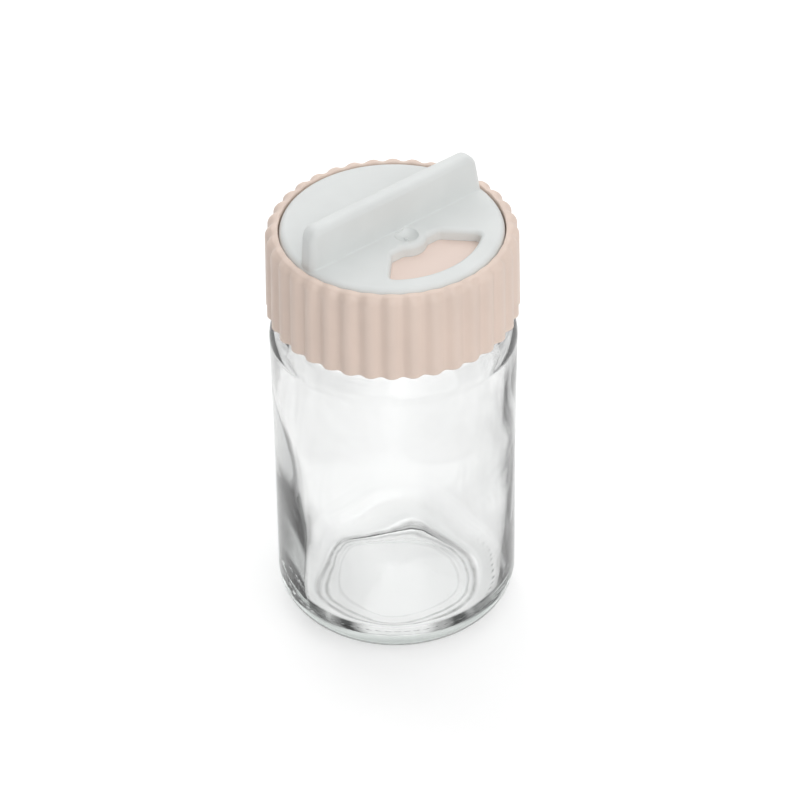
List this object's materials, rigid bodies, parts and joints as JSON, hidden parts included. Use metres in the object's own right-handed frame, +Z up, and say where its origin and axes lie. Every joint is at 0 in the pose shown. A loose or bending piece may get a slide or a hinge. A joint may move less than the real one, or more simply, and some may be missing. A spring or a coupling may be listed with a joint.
{
  "type": "salt cellar",
  "caption": "Glass table jar with a fluted screw cap and a finned turning dial that opens sprinkle holes or a pouring hole.",
  "frame": {"origin": "centre of the face that the jar stands on", "axes": "+Z up along the jar's axis; the window's side of the closed dial faces between +X and -Y"},
  "size_m": [0.062, 0.062, 0.1245],
  "materials": {
    "clear_glass": "clear moulded glass",
    "ring_silicone": "translucent white silicone, satin",
    "pink_plastic": "pale pink moulded plastic, satin",
    "pale_plastic": "pale grey-white moulded plastic, satin"
  },
  "bodies": {
    "jar": {"jar": "clear_glass"},
    "sealing_ring": {"sealing_ring": "ring_silicone"},
    "cap": {"cap": "pink_plastic"},
    "dial": {"dial": "pale_plastic"}
  },
  "joints": [
    {"name": "cap_lift", "type": "slide", "parent": "jar", "child": "sealing_ring", "axis": [0, 0, 1], "range_m": [0, 0.0053]},
    {"name": "cap_turn", "type": "hinge", "parent": "sealing_ring", "child": "cap", "pos_m": [0, 0, 0.1098], "axis": [0, 0, 1], "range_deg": [0, 450]},
    {"name": "dial_turn", "type": "hinge", "parent": "cap", "child": "dial", "pos_m": [0, 0, 0.1108], "axis": [0, 0, 1], "range_deg": [-120, 120]}
  ],
  "couplings": [
    {"joint": "cap_lift", "follows": "cap_turn", "m_per_rad": 0.0006737}
  ]
}
